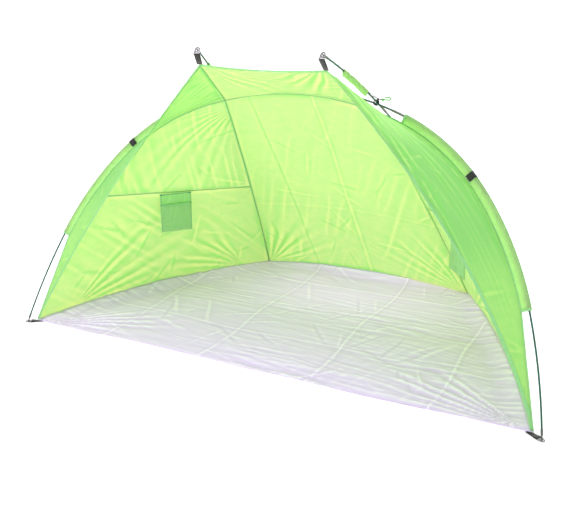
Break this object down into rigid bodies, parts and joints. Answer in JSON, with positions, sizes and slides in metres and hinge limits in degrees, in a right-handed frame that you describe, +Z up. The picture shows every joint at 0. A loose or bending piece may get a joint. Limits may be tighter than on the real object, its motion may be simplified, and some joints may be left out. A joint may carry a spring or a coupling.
{
  "type": "beach shelter tent",
  "caption": "Open-fronted fabric half-dome beach shelter on a groundsheet, held by a leaning hoop pole and two ridge poles.",
  "frame": {"origin": "centre of the footprint's bounding box, on the ground", "axes": "+X to the right when looking in through the open front, +Y towards the back wall, +Z up"},
  "size_m": [2.0798, 1.1696, 1.1136],
  "materials": {
    "fabric": "coated taffeta, matt with a slight sheen",
    "fabric_hem": "doubled taffeta hem",
    "groundsheet": "woven polyethylene, semi-gloss",
    "webbing": "woven webbing, matt",
    "pole": "painted fibreglass, satin",
    "steel": "zinc-plated stamped steel",
    "cord": "braided elastic",
    "hook": "moulded plastic, gloss"
  },
  "bodies": {
    "tent": {"back_panel": "fabric", "corner_sleeve_left": "fabric", "corner_sleeve_right": "fabric", "crossing_tie_left": "cord", "crossing_tie_right": "cord", "floor_border": "groundsheet", "front_foot_tab_left": "webbing", "front_foot_tab_right": "webbing", "groundsheet": "groundsheet", "hoop_pole_1_left": "pole", "hoop_pole_1_right": "pole", "hoop_pole_2_left": "pole", "hoop_pole_2_right": "pole", "hoop_pole_3_left": "pole", "hoop_pole_3_right": "pole", "hoop_pole_4_left": "pole", "hoop_pole_4_right": "pole", "hoop_sleeve_left": "fabric", "hoop_sleeve_right": "fabric", "lower_wall_left": "fabric", "lower_wall_right": "fabric", "peak_tab_left": "webbing", "peak_tab_right": "webbing", "pole_ferrules": "steel", "pole_tips": "steel", "rear_foot_tab_left": "webbing", "rear_foot_tab_right": "webbing", "ridge_pole_1_left": "pole", "ridge_pole_1_right": "pole", "ridge_pole_2_left": "pole", "ridge_pole_2_right": "pole", "ridge_pole_3_left": "pole", "ridge_pole_3_right": "pole", "ridge_pole_4_left": "pole", "ridge_pole_4_right": "pole", "ridge_sleeve_left": "fabric", "ridge_sleeve_right": "fabric", "roof_front_hem": "fabric_hem", "roof_panel": "fabric", "shock_cords": "cord", "sleeve_bands": "webbing", "upper_wall_left": "fabric", "upper_wall_right": "fabric", "wing_hem_left": "fabric_hem", "wing_hem_right": "fabric_hem", "wing_left": "fabric", "wing_right": "fabric"},
    "peak_clip_right": {"peak_plate_right": "steel"},
    "peak_clip_left": {"peak_plate_left": "steel"},
    "front_foot_clip_right": {"front_foot_plate_right": "steel"},
    "front_foot_clip_left": {"front_foot_plate_left": "steel"},
    "rear_foot_clip_right": {"rear_foot_plate_right": "steel"},
    "rear_foot_clip_left": {"rear_foot_plate_left": "steel"},
    "pocket_right": {"pocket_right": "fabric"},
    "pocket_left": {"pocket_left": "fabric"},
    "hook_right": {"hook_right": "hook", "hook_elastic_right": "cord"},
    "hook_left": {"hook_left": "hook", "hook_elastic_left": "cord"}
  },
  "joints": [
    {"name": "peak_clip_swing_right", "type": "hinge", "parent": "tent", "child": "peak_clip_right", "pos_m": [0.23216, -0.46655, 1.0894], "axis": [0.9742, -0.2258, 0], "range_deg": [0, 100]},
    {"name": "peak_clip_swing_left", "type": "hinge", "parent": "tent", "child": "peak_clip_left", "pos_m": [-0.23216, -0.46655, 1.0894], "axis": [0.9742, 0.2258, 0], "range_deg": [0, 100]},
    {"name": "front_foot_clip_lift_right", "type": "hinge", "parent": "tent", "child": "front_foot_clip_right", "pos_m": [1.01699, -0.56542, 0.0034], "axis": [-0.5878, -0.809, 0], "range_deg": [0, 3]},
    {"name": "front_foot_clip_lift_left", "type": "hinge", "parent": "tent", "child": "front_foot_clip_left", "pos_m": [-1.01699, -0.56542, 0.0034], "axis": [-0.5878, 0.809, 0], "range_deg": [0, 3]},
    {"name": "rear_foot_clip_lift_right", "type": "hinge", "parent": "tent", "child": "rear_foot_clip_right", "pos_m": [0.51091, 0.56017, 0.0034], "axis": [0.9164, -0.4003, 0], "range_deg": [0, 5]},
    {"name": "rear_foot_clip_lift_left", "type": "hinge", "parent": "tent", "child": "rear_foot_clip_left", "pos_m": [-0.51091, 0.56017, 0.0034], "axis": [0.9164, 0.4003, 0], "range_deg": [0, 5]},
    {"name": "pocket_swing_right", "type": "hinge", "parent": "tent", "child": "pocket_right", "pos_m": [0.60993, -0.09051, 0.4825], "axis": [-0.6246, 0.7809, 0], "range_deg": [-10, 85]},
    {"name": "pocket_swing_left", "type": "hinge", "parent": "tent", "child": "pocket_left", "pos_m": [-0.60993, -0.09051, 0.4825], "axis": [-0.6246, -0.7809, 0], "range_deg": [-10, 85]},
    {"name": "hook_swing_right", "type": "hinge", "parent": "tent", "child": "hook_right", "pos_m": [0.30945, -0.16365, 0.935], "axis": [0, 0, 1], "range_deg": [-45, 45]},
    {"name": "hook_swing_left", "type": "hinge", "parent": "tent", "child": "hook_left", "pos_m": [-0.30945, -0.16365, 0.935], "axis": [0, 0, -1], "range_deg": [-45, 45]}
  ]
}
